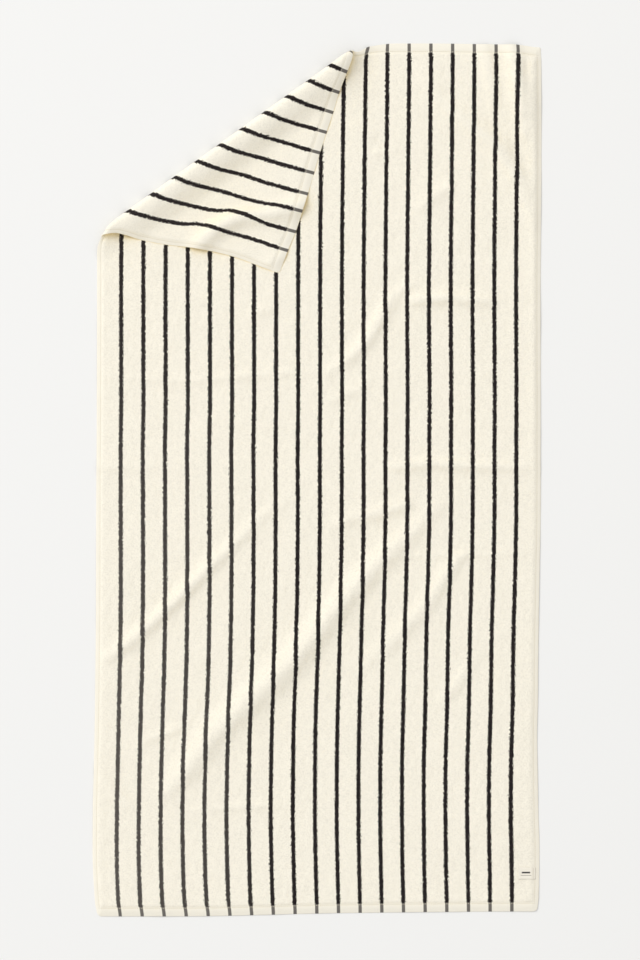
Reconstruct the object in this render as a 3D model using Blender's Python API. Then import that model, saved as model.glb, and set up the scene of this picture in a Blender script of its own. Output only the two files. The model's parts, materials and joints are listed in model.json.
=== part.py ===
"""Striped bath towel, lying flat with one corner turned over.

Metres, +Z up.  The origin is the middle of the towel's outline, on the surface
that it lies on.  +X runs across the stripes and +Y along them.

The towel is drawn first as a flat pattern and then laid down: past a diagonal
line at its far left corner the cloth goes round a loose roll and comes down to
lie, reverse side up, on the rest of the towel.  The towel's flat part with the
lower half of the roll is one body; the turned corner with the upper half of the
roll is the other, and it opens about the roll's outer line.
"""

import math

import bmesh
import bpy
from mathutils import Vector

# ---------------------------------------------------------------- driving dimensions
WIDTH = 0.700            # across the stripes
LENGTH = 1.370           # along the stripes
PILE_T = 0.0036          # terry, loops on both faces
HEM_T = 0.0028           # flat-woven ends and rolled sides
END_HEM = 0.015          # depth of the hems across the two ends
SIDE_HEM = 0.008         # depth of the hems down the two sides
CORNER_R = 0.006         # rounding of the towel's corners
GAP = 0.0003             # clearance between neighbouring pieces

FOLD_ON_SIDE = 0.387     # y at which the fold's outer line meets the left side
FOLD_ON_END = 0.0585     # x at which it meets the far end
TIP = (-0.0621, 0.3225)  # where the turned corner's point lies
ROLL_H = 0.024           # height of the loose roll
SETTLE = 0.090           # run over which the corner comes down from the roll
LAY = 0.0004             # air between the corner and the terry below it

STITCH_W = 0.0009        # a row of lockstitch
STITCH_H = 0.0004
STITCH_IN = 0.0015       # from the hem's inner edge to the row
SKIM = 0.0001            # clearance under thread and label

LABEL_W = 0.024          # woven label beside the right hem, near the near end
LABEL_L = 0.019
LABEL_T = 0.0006
LABEL_Y = -0.621         # its middle

ROLL_STEPS = 6           # facets in each quarter of the roll
SETTLE_STEPS = 9         # facets between the roll and the flat of the corner
CORNER_STEPS = 5         # facets in each rounded towel corner

CREAM = (0.90, 0.855, 0.72)
HEM_CREAM = (0.86, 0.82, 0.70)
REVERSE_CREAM = (0.88, 0.83, 0.69)
THREAD = (0.74, 0.69, 0.57)
LABEL_COLOUR = (0.93, 0.89, 0.80)

# ---------------------------------------------------------------- the fold
HALF_W, HALF_L = WIDTH / 2, LENGTH / 2
FOLD_START = Vector((-HALF_W, FOLD_ON_SIDE))
ALONG = (Vector((FOLD_ON_END, HALF_L)) - FOLD_START).normalized()
INWARD = Vector((ALONG.y, -ALONG.x))          # across the fold, towards the towel's middle
ROLL_R = (ROLL_H - PILE_T) / 2                # of the cloth's mid-thickness
QUARTER = math.pi * ROLL_R / 2                # cloth in a quarter of the roll
SLACK = QUARTER - ROLL_H / 2                  # cloth that the roll takes up on each side
REST_Z = PILE_T + LAY + PILE_T / 2            # mid-thickness of the corner where it lies flat
TOP_Z = ROLL_H - PILE_T / 2
FINE = 400


def fold_coords(p):
    """Pattern point -> (distance past the fold's outer line, distance along it)."""
    d = Vector(p) - FOLD_START
    return -d.dot(INWARD) - SLACK, d.dot(ALONG)


def drop(x):
    """Height of the corner's mid-thickness at run x past the roll, and its slope."""
    if x >= SETTLE:
        return REST_Z, 0.0
    k = math.pi / SETTLE
    return (REST_Z + (TOP_Z - REST_Z) * 0.5 * (1 + math.cos(k * x)),
            -(TOP_Z - REST_Z) * 0.5 * k * math.sin(k * x))


# cloth used up along the slope, so that the pattern keeps its length
SLOPE_CLOTH = [0.0]
for i in range(FINE):
    slope = drop(SETTLE * (i + 0.5) / FINE)[1]
    SLOPE_CLOTH.append(SLOPE_CLOTH[-1] + SETTLE / FINE * math.hypot(1, slope))


def run_of(q):
    """Run reached by a length q of cloth past the roll."""
    if q >= SLOPE_CLOTH[-1]:
        return SETTLE + q - SLOPE_CLOTH[-1]
    if q <= 0:
        return q
    lo, hi = 0, FINE
    while hi - lo > 1:
        mid = (lo + hi) // 2
        if SLOPE_CLOTH[mid] <= q:
            lo = mid
        else:
            hi = mid
    part = (q - SLOPE_CLOTH[lo]) / (SLOPE_CLOTH[hi] - SLOPE_CLOTH[lo])
    return SETTLE * (lo + part) / FINE


# the corner lies a little short and askew, as cloth that was turned over by hand does
_corner_a, _corner_c = fold_coords((-HALF_W, HALF_L))
_tip = Vector(TIP) - FOLD_START
SHORTEN = (_tip.dot(INWARD) - ROLL_H / 2) / run_of(_corner_a - QUARTER)
SKEW = (_tip.dot(ALONG) - _corner_c) / _corner_a


def lay(p, w):
    """Pattern point p at height w above the towel's reverse face -> where it lies."""
    a, c = fold_coords(p)
    if a <= -QUARTER:
        return Vector((p[0], p[1], w))
    c += SKEW * max(a, 0.0)
    if a < QUARTER:
        angle = a / ROLL_R
        radius = ROLL_H / 2 - w
        n = ROLL_H / 2 - radius * math.cos(angle)
        z = ROLL_H / 2 + radius * math.sin(angle)
    else:
        x = run_of(a - QUARTER)
        mid, slope = drop(x)
        slope /= SHORTEN
        size = math.hypot(1, slope)
        out = PILE_T / 2 - w
        n = ROLL_H / 2 + x * SHORTEN - slope / size * out
        z = mid + out / size
    flat = FOLD_START + ALONG * c + INWARD * n
    return Vector((flat.x, flat.y, z))


def arc_past(x):
    """Distance past the fold's outer line at which the corner has run x beyond the roll."""
    i = x / SETTLE * FINE
    lo = min(int(i), FINE - 1)
    return QUARTER + SLOPE_CLOTH[lo] + (i - lo) * (SLOPE_CLOTH[lo + 1] - SLOPE_CLOTH[lo])


STATIONS = [QUARTER * i / ROLL_STEPS for i in range(-ROLL_STEPS, ROLL_STEPS + 1)]
STATIONS += [arc_past(SETTLE * i / SETTLE_STEPS) for i in range(1, SETTLE_STEPS + 1)]

# where each body's cloth ends, in distance past the fold's outer line
FLAT_END = -QUARTER - GAP / 2
UNDER_ROLL = (-QUARTER + GAP / 2, -GAP / 2)
OVER_ROLL = (GAP / 2, QUARTER - GAP / 2)
CORNER_START = QUARTER + GAP / 2


# ---------------------------------------------------------------- flat outlines
def rectangle(x0, x1, y0, y1):
    return [(x0, y0), (x1, y0), (x1, y1), (x0, y1)]


def round_corner(cx, cy, start):
    """Points of a quarter circle about (cx, cy), anticlockwise from the angle start."""
    return [(cx + CORNER_R * math.cos(start + math.pi / 2 * i / CORNER_STEPS),
             cy + CORNER_R * math.sin(start + math.pi / 2 * i / CORNER_STEPS))
            for i in range(CORNER_STEPS + 1)]


def end_band(sign):
    """Outline of the hem across one end, its two outer corners rounded."""
    inner, outer = HALF_L - END_HEM, HALF_L
    if sign > 0:
        return ([(-HALF_W, inner), (HALF_W, inner)]
                + round_corner(HALF_W - CORNER_R, outer - CORNER_R, 0)
                + round_corner(-HALF_W + CORNER_R, outer - CORNER_R, math.pi / 2))
    return ([(HALF_W, -inner), (-HALF_W, -inner)]
            + round_corner(-HALF_W + CORNER_R, -outer + CORNER_R, math.pi)
            + round_corner(HALF_W - CORNER_R, -outer + CORNER_R, math.pi * 3 / 2))


def side_band(sign):
    inner, outer = HALF_W - SIDE_HEM, HALF_W
    y = HALF_L - END_HEM - GAP
    return rectangle(*sorted((sign * inner, sign * outer)), -y, y)


TERRY = rectangle(-HALF_W + SIDE_HEM + GAP, HALF_W - SIDE_HEM - GAP,
                  -HALF_L + END_HEM + GAP, HALF_L - END_HEM - GAP)
ROLLED = rectangle(-HALF_W + 0.001, HALF_W, -HALF_L, HALF_L - 0.001)


def end_row(sign):
    y = sign * (HALF_L - END_HEM + STITCH_IN)
    return rectangle(-HALF_W + 0.003, HALF_W - 0.003, *sorted((y, y + sign * STITCH_W)))


def side_row(sign):
    x = sign * (HALF_W - SIDE_HEM + STITCH_IN)
    y = HALF_L - END_HEM - GAP - 0.001
    return rectangle(*sorted((x, x + sign * STITCH_W)), -y, y)


def clip(poly, limit, keep_below):
    """The part of a convex outline that lies before (or past) a distance past the fold."""
    out = []
    for i, p in enumerate(poly):
        q = poly[(i + 1) % len(poly)]
        fp = fold_coords(p)[0] - limit
        fq = fold_coords(q)[0] - limit
        if keep_below:
            fp, fq = -fp, -fq
        if fp >= 0:
            out.append(p)
        if fp * fq < 0:
            t = fp / (fp - fq)
            out.append((p[0] + (q[0] - p[0]) * t, p[1] + (q[1] - p[1]) * t))
    clean = []
    for p in out:
        if not clean or math.dist(p, clean[-1]) > 2e-6:
            clean.append(p)
    while len(clean) > 1 and math.dist(clean[0], clean[-1]) <= 2e-6:
        clean.pop()
    return clean


def between(poly, lo=None, hi=None):
    if lo is not None:
        poly = clip(poly, lo, False)
    if hi is not None:
        poly = clip(poly, hi, True)
    return poly


def strips(poly):
    """A convex outline cut wherever the laid cloth changes direction."""
    reach = [fold_coords(p)[0] for p in poly]
    if max(reach) <= -QUARTER:
        return [poly]
    cuts = [min(reach)]
    for a in sorted(STATIONS + reach):
        if min(reach) < a <= max(reach) and a - cuts[-1] > 2e-5:
            cuts.append(a)
    cuts[-1] = max(reach)
    return [s for s in (between(poly, lo, hi) for lo, hi in zip(cuts, cuts[1:])) if len(s) > 2]


# ---------------------------------------------------------------- objects
corner_axis = None


def material(name, colour, roughness=0.95):
    mat = bpy.data.materials.new(name)
    mat.use_nodes = True
    shader = mat.node_tree.nodes["Principled BSDF"]
    shader.inputs["Base Color"].default_value = (*colour, 1.0)
    shader.inputs["Roughness"].default_value = roughness
    shader.inputs["Metallic"].default_value = 0.0
    mat.diffuse_color = (*colour, 1.0)
    return mat


def cloth(name, outline, w0, w1, colour, parent=None):
    """A named piece: the outline, from w0 to w1 above the reverse face, laid in place."""
    origin = parent.location.copy() if parent else None
    pieces = strips(outline)
    bm = bmesh.new()
    made = {}

    def pair(p):
        key = (round(p[0] * 1e5), round(p[1] * 1e5))
        for dx in (-1, 0, 1):                 # a neighbour's copy may round the other way
            for dy in (-1, 0, 1):
                near = (key[0] + dx, key[1] + dy)
                if near in made and math.dist(made[near][2], p) < 3e-6:
                    return near
        made[key] = (bm.verts.new(lay(p, w0)), bm.verts.new(lay(p, w1)), p)
        return key

    edges = {}
    for piece in pieces:
        keys = []
        for p in piece:
            k = pair(p)
            if not keys or (k != keys[-1] and k != keys[0]):
                keys.append(k)
        if len(keys) < 3:
            continue
        bm.faces.new([made[k][1] for k in keys])
        bm.faces.new([made[k][0] for k in reversed(keys)])
        for i, k in enumerate(keys):
            nxt = keys[(i + 1) % len(keys)]
            if (nxt, k) in edges:
                edges.pop((nxt, k))
            else:
                edges[(k, nxt)] = True
    for k, nxt in edges:
        bm.faces.new([made[k][0], made[nxt][0], made[nxt][1], made[k][1]])
    if origin is None:
        lo = Vector([min(v.co[i] for v in bm.verts) for i in range(3)])
        hi = Vector([max(v.co[i] for v in bm.verts) for i in range(3)])
        origin = (lo + hi) / 2
        origin.z = lo.z
    bmesh.ops.translate(bm, vec=-origin, verts=bm.verts)
    bmesh.ops.triangulate(bm, faces=bm.faces[:])
    mesh = bpy.data.meshes.new(name)
    bm.to_mesh(mesh)
    bm.free()
    mesh.set_sharp_from_angle(angle=math.radians(40))
    obj = bpy.data.objects.new(name, mesh)
    bpy.context.collection.objects.link(obj)
    mesh.materials.append(material(name, colour))
    if parent:
        obj.parent = parent
    else:
        obj.location = origin
    return obj


def build():
    for obj in list(bpy.data.objects):
        bpy.data.objects.remove(obj, do_unlink=True)

    # the line that the corner opens about: the roll's outermost line
    axis = bpy.data.objects.new("corner_axis", None)
    bpy.context.collection.objects.link(axis)
    middle = FOLD_START + ALONG * 0.25 - INWARD * 0.0001
    axis.location = (middle.x, middle.y, ROLL_H / 2)

    # the flat of the towel
    cloth("terry_panel", between(TERRY, hi=FLAT_END), 0.0, PILE_T, CREAM)
    cloth("near_end_hem", end_band(-1), 0.0, HEM_T, HEM_CREAM)
    cloth("far_end_hem", between(end_band(1), hi=FLAT_END), 0.0, HEM_T, HEM_CREAM)
    cloth("left_side_hem", between(side_band(-1), hi=FLAT_END), 0.0, HEM_T, HEM_CREAM)
    cloth("right_side_hem", side_band(1), 0.0, HEM_T, HEM_CREAM)
    cloth("fold_under_half", between(ROLLED, *UNDER_ROLL), 0.0, PILE_T, CREAM)

    # its thread, on the face
    low, high = HEM_T + SKIM, HEM_T + SKIM + STITCH_H
    flat_rows = -QUARTER - 0.004
    cloth("near_end_stitching", end_row(-1), low, high, THREAD)
    cloth("far_end_stitching", between(end_row(1), hi=flat_rows), low, high, THREAD)
    cloth("left_side_stitching", between(side_row(-1), hi=flat_rows), low, high, THREAD)
    cloth("right_side_stitching", side_row(1), low, high, THREAD)

    # the label, caught along its outer edge
    x1 = HALF_W - SIDE_HEM - GAP
    y0, y1 = LABEL_Y - LABEL_L / 2, LABEL_Y + LABEL_L / 2
    base = PILE_T + SKIM
    cloth("label", rectangle(x1 - LABEL_W, x1, y0, y1), base, base + LABEL_T, LABEL_COLOUR)
    top = base + LABEL_T + SKIM
    cloth("label_stitching", rectangle(x1 - 0.0018, x1 - 0.0010, y0 + 0.001, y1 - 0.001),
          top, top + 0.0003, THREAD)

    # the turned corner
    cloth("fold_over_half", between(ROLLED, *OVER_ROLL), 0.0, PILE_T, REVERSE_CREAM, axis)
    cloth("corner_terry", between(TERRY, lo=CORNER_START), 0.0, PILE_T, REVERSE_CREAM, axis)
    cloth("corner_end_hem", between(end_band(1), lo=CORNER_START), 0.0, HEM_T, HEM_CREAM, axis)
    cloth("corner_side_hem", between(side_band(-1), lo=CORNER_START), 0.0, HEM_T, HEM_CREAM, axis)

    # its thread, on the reverse face, which is uppermost here
    past = QUARTER + 0.025
    cloth("corner_end_stitching", between(end_row(1), lo=past),
          -SKIM - STITCH_H, -SKIM, THREAD, axis)
    cloth("corner_side_stitching", between(side_row(-1), lo=past),
          -SKIM - STITCH_H, -SKIM, THREAD, axis)


build()
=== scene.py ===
"""Looks for the striped bath towel: one continuous terry sheet with its corner turned over,
its hem seams in real stitches, and its woven label."""
import json
import math

import bpy
import numpy as np
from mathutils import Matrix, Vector


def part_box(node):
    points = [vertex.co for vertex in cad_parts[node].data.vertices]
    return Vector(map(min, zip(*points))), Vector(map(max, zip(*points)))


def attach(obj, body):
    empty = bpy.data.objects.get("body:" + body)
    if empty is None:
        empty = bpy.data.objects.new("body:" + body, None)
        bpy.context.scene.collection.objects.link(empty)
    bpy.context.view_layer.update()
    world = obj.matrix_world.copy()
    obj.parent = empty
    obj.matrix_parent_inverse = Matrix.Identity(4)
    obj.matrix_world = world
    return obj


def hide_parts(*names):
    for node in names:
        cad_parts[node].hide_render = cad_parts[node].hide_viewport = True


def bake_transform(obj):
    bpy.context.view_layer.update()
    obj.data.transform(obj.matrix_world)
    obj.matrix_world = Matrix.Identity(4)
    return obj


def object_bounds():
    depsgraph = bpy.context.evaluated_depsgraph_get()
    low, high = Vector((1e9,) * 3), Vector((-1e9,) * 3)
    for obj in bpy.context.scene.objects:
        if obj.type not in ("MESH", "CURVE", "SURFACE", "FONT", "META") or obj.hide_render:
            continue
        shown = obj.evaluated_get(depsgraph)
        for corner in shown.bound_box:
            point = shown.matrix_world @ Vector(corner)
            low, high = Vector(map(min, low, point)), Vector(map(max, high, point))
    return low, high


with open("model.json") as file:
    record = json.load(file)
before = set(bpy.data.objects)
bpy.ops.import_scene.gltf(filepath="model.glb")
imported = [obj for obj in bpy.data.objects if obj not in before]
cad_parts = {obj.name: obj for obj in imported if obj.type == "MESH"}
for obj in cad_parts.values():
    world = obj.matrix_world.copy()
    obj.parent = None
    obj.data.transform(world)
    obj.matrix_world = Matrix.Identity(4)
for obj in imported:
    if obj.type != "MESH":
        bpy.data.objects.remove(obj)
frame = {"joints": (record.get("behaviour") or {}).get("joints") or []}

CAD_BOX = [[float(x) for x in c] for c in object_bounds()]

# ------------------------------------------------------------------ facts of the cloth (m)
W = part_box("near_end_hem")[1][0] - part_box("near_end_hem")[0][0]      # 0.700
L = CAD_BOX[1][1] - CAD_BOX[0][1]                                    # 1.370
W, L = round(float(W), 4), round(float(L), 4)
T = 0.0036              # pile, both faces
HEM_T = 0.0026
END_HEM, SIDE_HEM = 0.015, 0.008
STITCH_IN = 0.0020      # from the hem's inner edge to its row of stitches
PITCH = 0.0346          # stripe to stripe; 19 of them, the tenth in the middle
REACH = 9.5 * PITCH

joint = frame["joints"][0]
ALONG = -np.array(joint["axis"][:2], float)
ALONG /= np.linalg.norm(ALONG)
INWARD = np.array([ALONG[1], -ALONG[0]])
_p = np.array(joint["pos_m"][:2], float) + 0.0001 * INWARD
START = _p + (-W / 2 - _p[0]) / ALONG[0] * ALONG        # the fold's outer line, at the left side
FOLD_LEN = (L / 2 - START[1]) / ALONG[1]
rng = np.random.default_rng(20)


def smooth(x, lo, hi):
    t = np.clip((x - lo) / (hi - lo), 0, 1)
    return t * t * (3 - 2 * t)


def curve(x, xs, ys):
    """A smooth line through points (cubic Hermite, flat past the ends)."""
    xs, ys = np.asarray(xs, float), np.asarray(ys, float)
    d = np.diff(ys) / np.diff(xs)
    m = np.zeros_like(ys)
    m[1:-1] = np.where(d[1:] * d[:-1] > 0, 2 * d[1:] * d[:-1] / (d[1:] + d[:-1] + 1e-30), 0)
    x = np.clip(x, xs[0], xs[-1])
    i = np.clip(np.searchsorted(xs, x, side="right") - 1, 0, len(xs) - 2)
    h = xs[i + 1] - xs[i]
    t = (x - xs[i]) / h
    return ((1 + 2 * t) * (1 - t) ** 2 * ys[i] + t * (1 - t) ** 2 * h * m[i]
            + t * t * (3 - 2 * t) * ys[i + 1] + t * t * (t - 1) * h * m[i + 1])


class Waves:
    """Smooth seeded unevenness: a sum of plane waves about one wavelength."""

    def __init__(self, wavelength, seed, count=9):
        g = np.random.default_rng(seed)
        a = g.uniform(0, 2 * np.pi, count)
        k = 2 * np.pi / (wavelength * g.uniform(0.7, 1.5, count))
        self.kx, self.ky, self.ph = k * np.cos(a), k * np.sin(a), g.uniform(0, 6.28, count)
        self.n = math.sqrt(count / 2)

    def __call__(self, u, v):
        out = 0
        for kx, ky, ph in zip(self.kx, self.ky, self.ph):
            out = out + np.sin(kx * u + ky * v + ph)
        return out / self.n


# ------------------------------------------------------------------ soft creases in the flat part
# crest points (u, v, height mm, half-width mm)
CREASES = [
    [(-0.253, -0.505, 0, 12), (-0.231, -0.489, 3.0, 15), (-0.200, -0.455, 6.6, 19), (-0.162, -0.403, 8.0, 22), (-0.112, -0.354, 8.6, 22), (-0.057, -0.304, 9.2, 22), (-0.002, -0.241, 9.2, 21), (0.049, -0.178, 8.0, 20), (0.105, -0.121, 6.2, 18), (0.146, -0.085, 4.2, 16), (0.178, -0.052, 2.2, 13), (0.206, -0.030, 0, 10)],
    [(-0.344, -0.291, 0, 9), (-0.326, -0.277, 3.2, 10), (-0.294, -0.253, 4.6, 11), (-0.258, -0.222, 5.2, 11), (-0.222, -0.187, 5.4, 11), (-0.179, -0.143, 4.8, 11), (-0.137, -0.104, 3.2, 10), (-0.096, -0.064, 1.8, 10), (-0.053, -0.033, 1, 10), (-0.014, -0.017, 0, 9)],
    [(0.061, -0.304, 0, 12), (0.083, -0.283, 2, 13), (0.115, -0.260, 3, 14), (0.146, -0.228, 3.8, 14), (0.178, -0.190, 4, 14), (0.200, -0.154, 4, 12), (0.219, -0.127, 2.6, 10), (0.247, -0.109, 1, 9), (0.285, -0.099, 0, 8)],
    [(-0.008, 0.156, 0, 9), (0.017, 0.170, 1.8, 10), (0.052, 0.195, 3.8, 11), (0.080, 0.225, 4.6, 11), (0.101, 0.263, 4.4, 11), (0.118, 0.288, 2.4, 10), (0.140, 0.304, 2, 9), (0.159, 0.313, 0, 8)],
    [(0.005, -0.077, 0, 9), (0.041, -0.064, 2.7, 12), (0.083, -0.055, 3.6, 12), (0.127, -0.044, 3.3, 11), (0.159, -0.033, 0, 9)],
    [(0.093, 0.017, 0, 8), (0.127, 0.020, 3, 9), (0.175, 0.025, 3.9, 10), (0.253, 0.020, 3.5, 9), (0.316, 0.019, 2.6, 9), (0.341, 0.017, 0.4, 8)],
    [(0.127, 0.277, 0, 8), (0.159, 0.282, 4.3, 10), (0.206, 0.285, 4.9, 10), (0.261, 0.280, 3.4, 9), (0.293, 0.272, 0, 8)],
    [(0.099, -0.123, 0, 4), (0.143, -0.121, 0.9, 5), (0.206, -0.120, 0.9, 5), (0.293, -0.118, 1, 5), (0.332, -0.118, 0, 5)],
    [(-0.326, 0.162, 0.5, 6), (-0.266, 0.157, 1.2, 7), (-0.203, 0.153, 1.4, 7), (-0.124, 0.162, 1.7, 7), (-0.046, 0.167, 1.2, 7), (-0.002, 0.160, 0, 6)],
    [(-0.211, -0.518, 0, 5), (-0.164, -0.518, 1.4, 7), (-0.085, -0.514, 1.7, 7), (-0.036, -0.514, 0, 6)],
    [(-0.349, 0.019, 1.3, 8), (-0.305, 0.019, 1.3, 8), (-0.250, 0.020, 0.7, 8), (-0.148, 0.020, 0.6, 8), (-0.109, 0.020, 0, 7)],
    [(-0.294, -0.423, 0, 7), (-0.266, -0.409, 1.7, 8), (-0.227, -0.396, 2, 8), (-0.203, -0.389, 0, 7)],
    [(-0.348, -0.455, 0.6, 8), (-0.326, -0.478, 2.1, 9), (-0.297, -0.510, 2.1, 9), (-0.263, -0.529, 0.9, 8), (-0.227, -0.533, 0, 7)],
    [(-0.030, -0.392, 0, 7), (-0.035, -0.434, 0.7, 8), (-0.035, -0.489, 0.8, 9), (-0.033, -0.546, 0, 8)],
    [(-0.002, 0.120, 0, 8), (0.027, 0.127, 1.4, 9), (0.064, 0.143, 1.8, 9), (0.093, 0.165, 0, 8)],
    [(-0.112, 0.274, 0, 7), (-0.099, 0.264, 2, 9), (-0.077, 0.267, 1.6, 8), (-0.061, 0.282, 0, 7)],
    [(0.190, -0.357, 0, 8), (0.209, -0.338, 2.1, 10), (0.231, -0.310, 2.1, 10), (0.250, -0.282, 1, 9), (0.263, -0.266, 0, 8)],
    [(0.144, 0.655, 0, 12), (0.169, 0.623, 2.4, 13), (0.187, 0.595, 3.8, 14), (0.231, 0.563, 5.4, 16), (0.260, 0.539, 6.8, 17), (0.283, 0.518, 7.4, 17), (0.307, 0.483, 6.4, 15), (0.321, 0.462, 4.4, 13), (0.332, 0.420, 2, 11), (0.340, 0.372, 0, 9)],
    [(0.258, 0.684, 2.2, 11), (0.264, 0.655, 3.2, 11), (0.268, 0.628, 3.0, 11), (0.273, 0.598, 1.8, 11), (0.281, 0.575, 0, 10)],
    [(0.302, 0.684, 5.0, 13), (0.307, 0.655, 7.4, 14), (0.314, 0.622, 8.2, 15), (0.319, 0.588, 6.6, 15), (0.323, 0.552, 4, 13), (0.327, 0.525, 1, 10), (0.330, 0.500, 0, 9)],
    [(0.143, 0.416, 0, 9), (0.162, 0.430, 2, 11), (0.178, 0.442, 2.6, 12), (0.201, 0.459, 2.2, 11), (0.214, 0.476, 0, 9)],
    [(0.335, 0.659, 1.6, 6), (0.335, 0.604, 2, 7), (0.337, 0.533, 1.8, 7), (0.338, 0.439, 1.2, 7), (0.338, 0.282, 0.9, 7), (0.338, 0.093, 0.8, 7), (0.338, 0.014, 0.4, 7)],
    [(0.036, 0.562, 0, 7), (0.055, 0.552, 1.2, 8), (0.077, 0.543, 1.2, 8), (0.096, 0.533, 0, 7)],
    [(0.074, 0.505, 0, 6), (0.093, 0.514, 1.3, 7), (0.115, 0.516, 1.3, 7), (0.134, 0.508, 0, 6)],
]


def crease(u, v, points):
    p = np.array(points, float)
    best = np.full(u.shape, 1e9)
    high = np.zeros(u.shape)
    wide = np.full(u.shape, 0.01)
    for (ax, ay, ah, aw), (bx, by, bh, bw) in zip(p[:-1], p[1:]):
        dx, dy = bx - ax, by - ay
        t = np.clip(((u - ax) * dx + (v - ay) * dy) / (dx * dx + dy * dy), 0, 1)
        d = np.hypot(u - ax - t * dx, v - ay - t * dy)
        near = d < best
        s = t * t * (3 - 2 * t)
        best = np.where(near, d, best)
        high = np.where(near, ah + (bh - ah) * s, high)
        wide = np.where(near, aw + (bw - aw) * s, wide)
    return high * 1e-3 * np.exp(-(best / (wide * 1e-3)) ** 2)


_long, _mid = Waves(0.16, 3), Waves(0.055, 4)


def rise(u, v):
    """How far the cloth stands off the floor."""
    h = np.zeros(u.shape)
    for points in CREASES:
        h = np.maximum(h, 0) + crease(u, v, points)
    return h + 0.00022 * (1 + _long(u, v)) + 0.00010 * (1 + _mid(u, v))


# sideways drift of the cloth, mm: rows along the length, columns across
DRIFT_V = [-.685, -.661, -.583, -.530, -.460, -.400, -.348, -.290, -.230, -.160, -.033, .040, .128, .281, .517, .660, .685]
DRIFT_U = [-.350, -.3114, -.1730, 0.0, .1730, .3114, .350]
DRIFT = np.array([
    [1.2, -1.2, -1.2, -3.4, -6.0, -8.2, -6.5], [-2.4, -4.4, -4.0, -3.9, -6.6, -8.4, -4.4],
    [-6.0, -6.6, -6.6, -5.6, -8.0, -9.3, -3.2], [-5.8, -6.2, -7.2, -6.4, -8.3, -10.2, -4.8],
    [-4.2, -5.2, -6.2, -6.2, -8.3, -9.8, -6.0], [-2.9, -3.8, -4.6, -5.6, -7.0, -8.3, -6.8],
    [-2.1, -2.9, -2.6, -4.4, -5.8, -6.9, -5.6], [-1.5, -1.3, -.7, -2.4, -4.9, -6.3, -5.2],
    [-.9, -.5, .3, -1.0, -3.9, -5.4, -4.4], [-.6, -.1, 1.0, .4, -1.7, -3.4, -3.2],
    [-.3, -.3, .6, 1.4, .4, -1.2, -1.2], [.2, -.4, .4, 1.3, .4, -1.3, -1.3],
    [.6, .5, 1.8, 1.9, .8, -1.0, -1.2], [1.0, .4, 1.6, 1.8, -.2, -1.6, -1.5],
    [1.0, 1.6, 2.6, 3.3, 1.9, -.1, 0], [2.0, 3.0, 4.0, 4.8, 3.0, 1.2, -.3], [2.0, 3.0, 4.0, 4.8, 3.0, 1.2, -1.2]]) * 1e-3


def drift(u, v):
    cols = np.stack([curve(v, DRIFT_V, DRIFT[:, i]) for i in range(len(DRIFT_U))])
    u = np.clip(u, DRIFT_U[0], DRIFT_U[-1])
    out = np.zeros(u.shape)
    for i in range(len(DRIFT_U) - 1):
        t = np.clip((u - DRIFT_U[i]) / (DRIFT_U[i + 1] - DRIFT_U[i]), 0, 1)
        inside = (u >= DRIFT_U[i]) & (u <= DRIFT_U[i + 1])
        out = np.where(inside, cols[i] + (cols[i + 1] - cols[i]) * t, out)
    dy_near = (0.0048 * smooth(u, -.25, .35) - 0.0030 * smooth(-u, -.05, .22)) * smooth(-v, .35, .685)
    dy_far = -(0.0015 * smooth(u, .17, .30) + 0.0045 * smooth(u, .30, .35)) * smooth(v, .45, .685)
    return out, dy_near + dy_far


# ------------------------------------------------------------------ the turned corner
# Seen along the fold's line the cloth lies flat, swings up in a quarter ellipse to the fold's
# outermost line, goes over in a quarter circle, and comes down on itself in an easy slope.
def roll_radius(c):
    return curve(c / FOLD_LEN, [0, .12, .32, .58, .80, 1.0],
                 [.0051, .0080, .0090, .0092, .0080, .0050])


def swing(c):
    """How far in the under layer begins to lift: further at the fold's two open ends."""
    return curve(c / FOLD_LEN, [-.02, .05, .16, .70, .86, 1.0],
                 [.028, .022, .0100, .0115, .023, .042])


# arc length round a quarter ellipse, by its ratio of half-width to half-height
RATIOS = np.linspace(0.9, 9.0, 60)
ANGLES = np.linspace(0, math.pi / 2, 121)
_speed = np.sqrt((RATIOS[:, None] * np.sin(ANGLES)) ** 2 + np.cos(ANGLES) ** 2)
ARCS = np.concatenate([np.zeros((60, 1)), np.cumsum((_speed[:, 1:] + _speed[:, :-1]) / 2, axis=1) * ANGLES[1]], axis=1)
ARC_ANGLES = np.stack([np.interp(np.linspace(0, 1, 81), row / row[-1], ANGLES) for row in ARCS])


def quarter_length(ratio):
    return np.interp(ratio, RATIOS, ARCS[:, -1])


def quarter_angle(ratio, fraction):
    i = np.clip((ratio - .9) / 8.1 * 59, 0, 58.999)
    j = np.clip(fraction, 0, 1) * 79.999
    i0, j0 = i.astype(int), j.astype(int)
    fi, fj = i - i0, j - j0
    g = ARC_ANGLES
    return ((g[i0, j0] * (1 - fi) + g[i0 + 1, j0] * fi) * (1 - fj)
            + (g[i0, j0 + 1] * (1 - fi) + g[i0 + 1, j0 + 1] * fi) * fj)


def early(c):
    """Cloth that never gets over the fold's line at its far end, where the fold fades out."""
    return .0090 * np.exp(-(np.maximum(FOLD_LEN - c, 0) / .042) ** 2)


SETTLE = 0.050
AIR = 0.0003
REST = T + AIR + T / 2


def fold_coords(u, v):
    """(past the fold's line, along it, roll radius, cloth past the outermost line, swing, its length)."""
    du, dv = u - START[0], v - START[1]
    s = -(du * INWARD[0] + dv * INWARD[1])
    c = du * ALONG[0] + dv * ALONG[1]
    r, wide = roll_radius(c), swing(c)
    low = quarter_length(wide / r) * r
    return s, c, r, s - (low - wide - T / 2) - early(c), wide, low


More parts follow.
